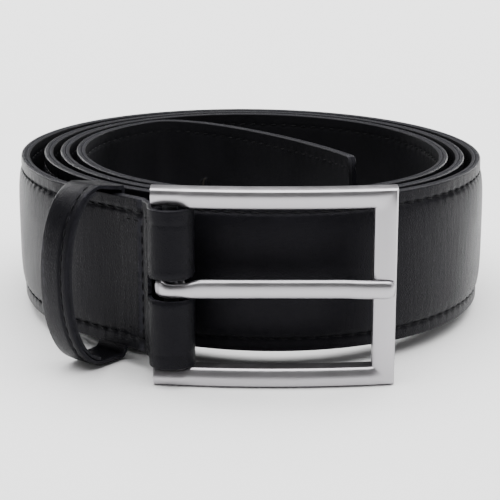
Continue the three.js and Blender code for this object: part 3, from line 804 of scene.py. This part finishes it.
# %% The section of the buckle's bars
FRAME_LEFT = BAR[0] - 4.03
FRAME_RIGHT = FRAME_LEFT + 52.1
FRAME_HEIGHT = 43.4
ARM, END_BAR = 4.1, 4.85
BOW = 2.0
FRONT_LIP, FRONT_ROUND, BACK_FACE, BACK_SIDE = 1.62, 0.88, 2.5, 2.1


def bow(x):
    part = (x - (FRAME_LEFT + FRAME_RIGHT) / 2) / (FRAME_RIGHT - FRAME_LEFT) * 2
    return BAR[1] - BOW * (1 - part ** 2)


def bar_section():
    """Share of the width from the outer edge, and depth from the middle; front is negative."""
    front = [(0.0, -1.35), (0.03, -FRONT_LIP)]
    for t in np.linspace(0.08, 1, 15)[:-1]:
        front.append((t, -FRONT_LIP - FRONT_ROUND * math.sin(math.pi * (0.05 + 0.95 * t) ** 0.8) ** 0.75))
    back = [(1.0, -1.5), (1.0, BACK_SIDE), (0.9, BACK_FACE), (0.1, BACK_FACE), (0.0, BACK_SIDE)]
    return np.array(front + back)


section = bar_section()
print("points round a bar", len(section))

# %% The section carried round the three sides
RELIEF, RELIEF_RUN = 0.45, 6.7
CORNER_ROOM = 0.6


def frame_ring(x, z_way):
    """The section at x (a number, or one per point), with z_way as its height from the middle."""
    x = np.zeros(len(section)) + x
    z = np.zeros(len(section)) + MID + z_way
    return np.stack([x, bow(x) + section[:, 1], z], axis=-1)


def buckle_frame():
    """Lower arm, corner, end bar, corner, upper arm; the arms are thinner at the pin."""
    relief_end = FRAME_LEFT + RELIEF_RUN
    xs = np.concatenate([
        np.linspace(FRAME_LEFT, relief_end - 1.5, 6),
        np.linspace(relief_end - 1.0, relief_end + 1.0, 7),
        np.linspace(relief_end + 2.0, FRAME_RIGHT - END_BAR - CORNER_ROOM, 24),
    ])
    end_x = FRAME_RIGHT - section[:, 0] * END_BAR

    def arm(x, side):
        width = ARM - RELIEF * (1 - smooth((x - relief_end + 1.0) / 2.0))
        return frame_ring(x, side * (FRAME_HEIGHT / 2 - section[:, 0] * width))

    def corner(side):
        return frame_ring(end_x, side * (FRAME_HEIGHT / 2 - section[:, 0] * ARM))

    inner = FRAME_HEIGHT / 2 - ARM - CORNER_ROOM
    low = [arm(x, -1) for x in xs] + [corner(-1)]
    right = [frame_ring(end_x, z) for z in np.linspace(-inner, inner, 24)]
    high = [corner(1)] + [arm(x, 1) for x in xs[::-1]]
    return np.array(low + right + high)


frame_piece = loft("frame", buckle_frame(), "buckle", "satin_metal", smooth=28)
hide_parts("buckle_frame")

# %% [markdown]
# ### Notch, pin holes and softened edges
# The prong lies in a shallow notch in the end bar, and the pin sits in a blind hole in each arm. Cutting
# them with pegs is simpler than shaping the rings. A small bevel comes last, and softens the cuts too.

# %% Notch, pin holes and softened edges
PIN = 1.6
PIN_COVER = 1.2
PIN_PLAY = 0.08
NOTCH_BACK, NOTCH_DEEP, NOTCH_TALL = 3.2, 1.32, 2.2
SOFT_EDGE = 0.28
notch_y = BAR[1] - NOTCH_BACK
notch = peg((FRAME_RIGHT - 8, notch_y, MID), (FRAME_RIGHT + 3, notch_y, MID), 1.0)
for vert in notch.data.vertices:
    at = (np.array(vert.co) - shift) @ turn / MM
    at[1] = notch_y + (at[1] - notch_y) * NOTCH_DEEP
    at[2] = MID + (at[2] - MID) * NOTCH_TALL
    vert.co = placed([at])[0]
hole_low = MID - FRAME_HEIGHT / 2 + PIN_COVER
hole_high = MID + FRAME_HEIGHT / 2 - PIN_COVER
cut(frame_piece, [notch, peg((*BAR, hole_low), (*BAR, hole_high), PIN + PIN_PLAY)])
bevel = frame_piece.modifiers.new("soft_edges", "BEVEL")
bevel.width = SOFT_EDGE * MM
bevel.segments = 3
bevel.limit_method = "ANGLE"
bevel.angle_limit = math.radians(38)
bevel.harden_normals = False

# %% [markdown]
# ### Pin
# The pin is a steel rod, hidden in the leather loop but for a glimpse in the slot. A plain cylinder would
# end in hard discs, so a profile with domed ends is turned round its axis, as on a lathe.

# %% Pin
PIN_END_GAP = 0.2


def lathe(name, axis_at, profile, body, slot, around=32):
    """A turned part: a profile of (radius, height) carried round an upright axis."""
    angle = np.linspace(0, 2 * math.pi, around, endpoint=False)
    rings = []
    for r, z in profile:
        x, y = axis_at[0] + r * np.cos(angle), axis_at[1] + r * np.sin(angle)
        rings.append(np.stack([x, y, np.full(around, z)], axis=-1))
    return loft(name, np.array(rings), body, slot, smooth=50)


pin_low, pin_high = hole_low + PIN_END_GAP, hole_high - PIN_END_GAP
pin = lathe("pin", BAR, [
    (0.5, pin_low), (1.2, pin_low + 0.1), (1.5, pin_low + 0.3), (PIN, pin_low + 0.6),
    (PIN, pin_high - 0.6), (1.5, pin_high - 0.3), (1.2, pin_high - 0.1), (0.5, pin_high),
], "buckle", "satin_metal")
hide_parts("buckle_bar")

# %% [markdown]
# ## Prong
# The prong is one length of metal: a hook closed round the pin, a narrow neck in the slot, and a fuller
# shaft that reaches over the end bar. A bevelled curve would keep one thickness, so it is a loft of
# rounded rings whose width and height change along the way.

# %% The prong's hook
HOOK_RADIUS = PIN + PIN_PLAY + 0.9
HOOK_WRAP = math.radians(260)
HOOK_TALL, NECK_TALL, NECK_THICK = 3.6, 3.1, 1.8
PRONG_LOW = MID - 2.02


def prong_ring(x, y, out_way, thick, tall, z=MID, around=28, power=2.5):
    angle = np.linspace(0, 2 * math.pi, around, endpoint=False)
    across = thick / 2 * power_round(np.cos(angle), power)
    up = tall / 2 * power_round(np.sin(angle), power)
    return np.stack([x + out_way[0] * across, y + out_way[1] * across, z + up], axis=-1)


def hook_rings():
    """From the hook's soft free end round the pin to the front."""
    rings = []
    for part in np.linspace(0, 1, 36, endpoint=False):
        way = heading(-math.pi / 2 - HOOK_WRAP * (1 - part))
        soft = min(1, 0.55 + part * 6)
        tall = (HOOK_TALL - (HOOK_TALL - NECK_TALL) * smooth((part - 0.8) / 0.2)) * soft
        low = PRONG_LOW + tall / 2 + 0.2 * (1 - soft)
        rings.append(prong_ring(*(BAR + HOOK_RADIUS * way), way, NECK_THICK * soft, tall, low))
    return rings


print("hook's middle radius, mm", round(HOOK_RADIUS, 2))

# %% The prong's neck, shaft and tip
SHAFT_END = FRAME_RIGHT - 0.5
SHAFT_GROWS, SHAFT_THICKENS = 0.95, 0.5
GROWS_FROM, GROWS_OVER = 1.6, 5.2
TIP_STEP, TIP_STEP_BACK = 0.55, 10.5
TIP_RINGS = ((1.7, 0.99, 0), (1.1, 0.94, 0.05), (0.55, 0.84, 0.2), (0.15, 0.68, 0.38), (0, 0.5, 0.45))


def shaft_rings():
    """The neck grows into the shaft, which steps forward before the tip lies in its notch."""
    rings = []
    length = SHAFT_END - BAR[0]
    for along in np.concatenate([np.linspace(0, 9, 16), np.linspace(10.5, length - 2.2, 20)]):
        grown = smooth((along - GROWS_FROM) / GROWS_OVER)
        tall = NECK_TALL + SHAFT_GROWS * grown
        thick = NECK_THICK + SHAFT_THICKENS * grown
        y = BAR[1] - HOOK_RADIUS - TIP_STEP * smooth((along - length + TIP_STEP_BACK) / 4)
        rings.append(prong_ring(BAR[0] + along, y, (0, -1), thick, tall, PRONG_LOW + tall / 2))
    for back, part, sink in TIP_RINGS:
        y = BAR[1] - HOOK_RADIUS - TIP_STEP + sink
        thick, tall = (NECK_THICK + SHAFT_THICKENS) * part, (NECK_TALL + SHAFT_GROWS) * part
        rings.append(prong_ring(SHAFT_END - back, y, (0, -1), thick, tall))
    return rings


prong = loft("prong_piece", np.array(hook_rings() + shaft_rings()), "prong", "satin_metal", smooth=60)
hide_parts("prong")

# %% [markdown]
# ## Shared surface effects
# Grain, creases and painted edge highlights show on several leathers, and fine brushing on several metal parts.
# They could be copied into each material. Each is a node group with its own inputs instead, built
# once and set for each material, so that a change reaches every piece.

# %% Node helpers
ASKEW = (0.61, 0.37, 0.23)
FLOAT, VECTOR = "NodeSocketFloat", "NodeSocketVector"


def group(name, inputs, outputs):
    """An empty node group with its sockets, and its two end nodes."""
    tree = bpy.data.node_groups.new(name, "ShaderNodeTree")
    for label, kind, value in inputs:
        socket = tree.interface.new_socket(label, in_out="INPUT", socket_type=kind)
        socket.default_value = value
    for label in outputs:
        tree.interface.new_socket(label, in_out="OUTPUT", socket_type=FLOAT)
    return tree, node(tree, "NodeGroupInput"), node(tree, "NodeGroupOutput")


def feed(tree, socket, value):
    """Links an output to a socket, or sets the socket to a plain value."""
    if isinstance(value, bpy.types.NodeSocket):
        tree.links.new(value, socket)
    else:
        socket.default_value = value


def node(tree, kind, inputs=None, **settings):
    made = tree.nodes.new(kind)
    for key, value in settings.items():
        setattr(made, key, value)
    for key, value in (inputs or {}).items():
        feed(tree, made.inputs[key], value)
    return made


def stretched(tree, scale):
    """Object coordinates, stretched so that a pattern runs with a part, and turned askew.

    A noise is built on a square grid. Where a surface runs along that grid it shows, so it is turned.
    """
    where = node(tree, "ShaderNodeTexCoord")
    given = {"Vector": where.outputs["Object"], "Scale": scale, "Rotation": ASKEW}
    return node(tree, "ShaderNodeMapping", given).outputs[0]


def math_node(tree, operation, a, b, clamp=False):
    return node(tree, "ShaderNodeMath", {0: a, 1: b}, operation=operation, use_clamp=clamp).outputs[0]


def noise(tree, where, scale, detail=3.0, **inputs):
    given = {"Vector": where, "Scale": scale, "Detail": detail, **inputs}
    return node(tree, "ShaderNodeTexNoise", given).outputs["Fac"]


print("patterns turned by degrees", [round(math.degrees(angle)) for angle in ASKEW])

# %% [markdown]
# ### Leather grain
# Leather has a pebble of tiny cells, finer pores, and faint creases across the strap. One noise alone
# looks like plaster, so cells, fine noise and stretched noise are added together.

# %% Leather grain group
def leather_grain():
    tree, given, ends = group(
        "leather_grain",
        [("Pebble Size", FLOAT, 2600.0), ("Crease", FLOAT, 0.5)],
        ["Height", "Patch"],
    )
    where = stretched(tree, (1, 1, 0.72))
    pebbles = node(tree, "ShaderNodeTexVoronoi", {"Vector": where, "Scale": given.outputs["Pebble Size"]},
                   feature="DISTANCE_TO_EDGE")
    cells = math_node(tree, "MULTIPLY", pebbles.outputs["Distance"], 2.2, clamp=True)
    fine = noise(tree, where, 5200.0)
    folds = noise(tree, stretched(tree, (1, 1, 0.13)), 900.0, 4.0, Roughness=0.6)
    creases = math_node(tree, "MULTIPLY", folds, given.outputs["Crease"])
    grain = math_node(tree, "ADD", math_node(tree, "MULTIPLY", cells, 0.55), creases)
    height = math_node(tree, "ADD", grain, math_node(tree, "MULTIPLY", fine, 0.35))
    tree.links.new(height, ends.inputs["Height"])
    tree.links.new(noise(tree, where, 70.0, 4.0), ends.inputs["Patch"])
    return tree


grain_group = leather_grain()
print("nodes in the grain group", len(grain_group.nodes))

# %% [markdown]
# ### Painted edge highlights
# Sharp leather edges catch the light; here that is a painted highlight, a lighter colour laid on them. It could be
# painted by hand. A mask from the mesh's own pointiness finds those edges by itself, and a noise breaks it up.

# %% Painted edge highlight group
def painted_edge_highlight():
    """A mask for a painted highlight: one on tight outer edges, and breaking up along them."""
    tree, given, ends = group(
        "painted_edge_highlight", [("Start", FLOAT, 0.52), ("Break Up", FLOAT, 900.0)], ["Mask"]
    )
    shape = node(tree, "ShaderNodeNewGeometry")
    sharp = math_node(tree, "SUBTRACT", shape.outputs["Pointiness"], given.outputs["Start"])
    strong = math_node(tree, "MULTIPLY", sharp, 14.0, clamp=True)
    patches = noise(tree, stretched(tree, (1, 1, 1)), given.outputs["Break Up"])
    tree.links.new(math_node(tree, "MULTIPLY", strong, patches), ends.inputs["Mask"])
    return tree


edge_group = painted_edge_highlight()
print("nodes in the edge group", len(edge_group.nodes))

# %% [markdown]
# ### Fine brushing
# Satin metal has fine lines along its length, and dulls in soft blotches where it is handled. An
# anisotropic shader stretches the light but shows no lines, so a noise squeezed hard in one direction
# makes them, and a coarser one makes the blotches.

# %% Brushed metal group
def fine_brushing():
    tree, given, ends = group(
        "fine_brushing",
        [("Along X", VECTOR, (60.0, 2400.0, 2400.0)), ("Blotch", FLOAT, 240.0)],
        ["Height", "Wear"],
    )
    where = node(tree, "ShaderNodeTexCoord").outputs["Object"]
    lines = node(tree, "ShaderNodeVectorMath", {0: where, 1: given.outputs["Along X"]}, operation="MULTIPLY")
    tree.links.new(noise(tree, lines.outputs[0], 1.0), ends.inputs["Height"])
    tree.links.new(noise(tree, where, given.outputs["Blotch"]), ends.inputs["Wear"])
    return tree


brush_group = fine_brushing()
print("nodes in the brushing group", len(brush_group.nodes))

# %% [markdown]
# ## Materials
# Every finish starts from one shader with a colour, and has its gloss varied a little by a pattern.
# Three small helpers do this, so that each finish below says only what is special about it.

# %% Material helpers
NOISE_LOW, NOISE_HIGH = 0.3, 0.7


def material(name, colour, metallic=0.0, **plain):
    """A named material; plain values are set on the shader's own sockets."""
    made = bpy.data.materials.new(name)
    made.use_nodes = True
    shader = made.node_tree.nodes["Principled BSDF"]
    shader.inputs["Base Color"].default_value = (*colour, 1)
    shader.inputs["Metallic"].default_value = metallic
    for key, value in plain.items():
        shader.inputs[key.replace("_", " ").title().replace("Ior", "IOR")].default_value = value
    return made, made.node_tree, shader


def blend_colour(tree, mask, low, high):
    """A mix of two colours by a mask; the low one is a colour or another node's output."""
    low = low if isinstance(low, bpy.types.NodeSocket) else (*low, 1)
    inputs = {"Factor": mask, "A": low, "B": (*high, 1)}
    return node(tree, "ShaderNodeMix", inputs, data_type="RGBA").outputs["Result"]


def vary_surface(tree, shader, tone, gloss_from, gloss):
    """A colour from nodes, and a gloss that varies between two values."""
    gloss_span = {"Value": gloss_from, "To Min": gloss[0], "To Max": gloss[1],
                  "From Min": NOISE_LOW, "From Max": NOISE_HIGH}
    varied = node(tree, "ShaderNodeMapRange", gloss_span).outputs["Result"]
    tree.links.new(tone, shader.inputs["Base Color"])
    tree.links.new(varied, shader.inputs["Roughness"])


def dent_surface(tree, shader, height, distance, strength):
    """Fine dents of a real depth, in metres."""
    dents = node(tree, "ShaderNodeBump", {"Height": height, "Distance": distance, "Strength": strength})
    tree.links.new(dents.outputs["Normal"], shader.inputs["Normal"])


print("noise values used, from and to", NOISE_LOW, NOISE_HIGH)

# %% [markdown]
# ### Leather
# Waxed leather is nearly black, with a soft gloss that its grain breaks up, and the lining is duller. A
# coat layer would look like patent leather, so the shader's own low reflection is used, tinted cool.

# %% Leather finishes
COOL_TINT = (0.93, 0.90, 1.0, 1.0)
LEATHER_SHINE = 0.085
GRAIN_DEPTH = 0.00009
EDGE_LIGHTER = 4


def leather(name, dark, light, gloss, pebble, crease, bump):
    made, tree, shader = material(name, dark, specular_ior_level=LEATHER_SHINE, specular_tint=COOL_TINT)
    grain = node(tree, "ShaderNodeGroup", node_tree=grain_group)
    grain.inputs["Pebble Size"].default_value = pebble
    grain.inputs["Crease"].default_value = crease
    edge = node(tree, "ShaderNodeGroup", node_tree=edge_group)
    tone = blend_colour(tree, grain.outputs["Patch"], dark, light)
    # painted highlight: tight outer edges get a lighter colour, standing in for the light they catch
    edge_highlighted = blend_colour(tree, edge.outputs["Mask"], tone, [EDGE_LIGHTER * c for c in light])
    vary_surface(tree, shader, edge_highlighted, grain.outputs["Patch"], gloss)
    dent_surface(tree, shader, grain.outputs["Height"], GRAIN_DEPTH, bump)
    return made


black = leather(
    "black_leather", (0.0022, 0.0022, 0.0028), (0.006, 0.006, 0.0075), (0.26, 0.38), 2400, 0.9, 1.0
)
lining = leather(
    "lining_leather", (0.004, 0.004, 0.0045), (0.009, 0.009, 0.0105), (0.42, 0.55), 3600, 0.4, 0.8
)
print("leathers", black.name, lining.name)

# %% [markdown]
# ### Thread and filler board
# Thread is a few twisted strands, and filler board is pressed fibre. Real strands would need thousands
# of tiny curves, so slanted wave bands make the twist, and stretched noise the fibres.

# %% Thread and filler board
TWIST_DEPTH = 0.00004


def thread_finish():
    made, tree, shader = material("black_thread", (0.006, 0.006, 0.007), specular_ior_level=0.08)
    where = stretched(tree, (1, 1, 1))
    twist = node(tree, "ShaderNodeTexWave", {"Vector": where, "Scale": 1500.0, "Distortion": 2.0},
                 wave_type="BANDS", bands_direction="DIAGONAL").outputs["Fac"]
    tone = blend_colour(tree, twist, (0.003, 0.003, 0.0035), (0.010, 0.010, 0.0115))
    vary_surface(tree, shader, tone, noise(tree, where, 4000.0), (0.45, 0.65))
    dent_surface(tree, shader, twist, TWIST_DEPTH, 0.6)
    return made


def filler_finish():
    made, tree, shader = material("filler_board", (0.06, 0.05, 0.045))
    fibre = noise(tree, stretched(tree, (1, 1, 0.4)), 2200.0, 5.0)
    tone = blend_colour(tree, fibre, (0.035, 0.03, 0.026), (0.09, 0.078, 0.068))
    vary_surface(tree, shader, tone, fibre, (0.8, 0.95))
    return made


thread = thread_finish()
filler = filler_finish()
print("sewing and filling", thread.name, filler.name)

# %% [markdown]
# ### Satin metal
# The buckle is bright, but blurred by very fine lines, and the pin is darker bare steel. A mirror with
# a bump alone would sparkle, so the blur is roughness, and the bump only adds the faintest line.

# %% Metal finishes
SATIN = (0.41, 0.398, 0.416)
STEEL = (0.11, 0.11, 0.12)
LINE_DEPTH, LINE_STRENGTH = 0.00001, 0.12


def satin(name, along, colour, gloss):
    made, tree, shader = material(name, colour, metallic=1.0)
    brush = node(tree, "ShaderNodeGroup", node_tree=brush_group)
    brush.inputs["Along X"].default_value = along
    darker, lighter = [c * 0.95 for c in colour], [min(c * 1.05, 1) for c in colour]
    tone = blend_colour(tree, brush.outputs["Wear"], darker, lighter)
    vary_surface(tree, shader, tone, brush.outputs["Wear"], gloss)
    dent_surface(tree, shader, brush.outputs["Height"], LINE_DEPTH, LINE_STRENGTH)
    return made


satin_metal = satin("satin_metal", (300.0, 2600.0, 2600.0), SATIN, (0.30, 0.36))
bare_steel = satin("bare_steel", (2600.0, 2600.0, 300.0), STEEL, (0.45, 0.55))
print("metals", satin_metal.name, bare_steel.name)

# %% [markdown]
# ### Giving every piece its finish
# Setting materials by hand would miss one sooner or later. Each piece already names its material slot,
# so a loop follows those names, for the new pieces and the frame's own.

# %% Finishes onto pieces
finishes = {
    "black_leather": black,
    "lining_leather": lining,
    "black_thread": thread,
    "filler_board": filler,
    "satin_metal": satin_metal,
}
given_slots = {part["node"]: part["material_slot"] for part in frame["record"]["subparts"]}
dressed = [(piece, piece["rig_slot"]) for piece in bpy.data.objects
           if piece.type == "MESH" and piece.get("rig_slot") in finishes]
dressed += [(cad_piece, given_slots[name]) for name, cad_piece in frame["nodes"].items()]
for piece, slot_name in dressed:
    piece.data.materials.clear()
    piece.data.materials.append(finishes[slot_name])
pin.data.materials[0] = bare_steel
print("pieces given a finish", len(dressed))

# %% [markdown]
# ## Floor and light
# Small lamps would make hard spots on the dome. So one wide light hangs above a pale floor, two tall
# ones stand behind the coil's shoulders, and two weak ones at the sides round off the buckle.

# %% Floor
FLOOR_SIZE = 4.0
FLOOR_DROP = -0.00002


def floor():
    mesh = bpy.data.meshes.new("floor")
    corners = [(x * FLOOR_SIZE, y * FLOOR_SIZE, 0) for x, y in ((-1, -1), (1, -1), (1, 1), (-1, 1))]
    mesh.from_pydata(corners, [], [(0, 1, 2, 3)])
    made = bpy.data.objects.new("floor", mesh)
    bpy.context.scene.collection.objects.link(made)
    made.location.z = FLOOR_DROP
    mesh.materials.append(material("floor", (0.9, 0.9, 0.9), roughness=0.9)[0])
    return made


print("floor", floor().name, "from the middle to each side, m", FLOOR_SIZE)

# %% Lights
COIL_MIDDLE = (0, 0, 0.02)
BACK_PANEL, SIDE_PANEL = (0.35, 0.5), (0.7, 0.8)


def soft_light(name, at, target, size, power):
    lamp = bpy.data.lights.new(name, "AREA")
    lamp.shape = "RECTANGLE"
    lamp.size, lamp.size_y = size
    lamp.energy = power
    made = bpy.data.objects.new(name, lamp)
    made.location = at
    way = Vector(target) - Vector(at)
    made.rotation_euler = way.to_track_quat("-Z", "Y").to_euler()
    bpy.context.scene.collection.objects.link(made)
    print("light", name, "watts", power)


soft_light("top", (0, 0.35, 1.6), (0, 0.35, 0), (2.8, 2.6), 140)
soft_light("left_back", (-0.55, 0.95, 0.25), COIL_MIDDLE, BACK_PANEL, 3.5)
soft_light("right_back", (0.55, 0.95, 0.25), COIL_MIDDLE, BACK_PANEL, 3.5)
soft_light("left_side", (-1.1, -0.25, 0.45), COIL_MIDDLE, SIDE_PANEL, 1.6)
soft_light("right_side", (1.1, -0.05, 0.45), COIL_MIDDLE, SIDE_PANEL, 3)

# %% The room's own faint light
ROOM_LIGHT = 0.12
world = bpy.data.worlds.new("studio")
world.use_nodes = True
background = world.node_tree.nodes["Background"]
background.inputs["Color"].default_value = (1, 1, 1, 1)
background.inputs["Strength"].default_value = ROOM_LIGHT
bpy.context.scene.world = world
print("room light", ROOM_LIGHT)
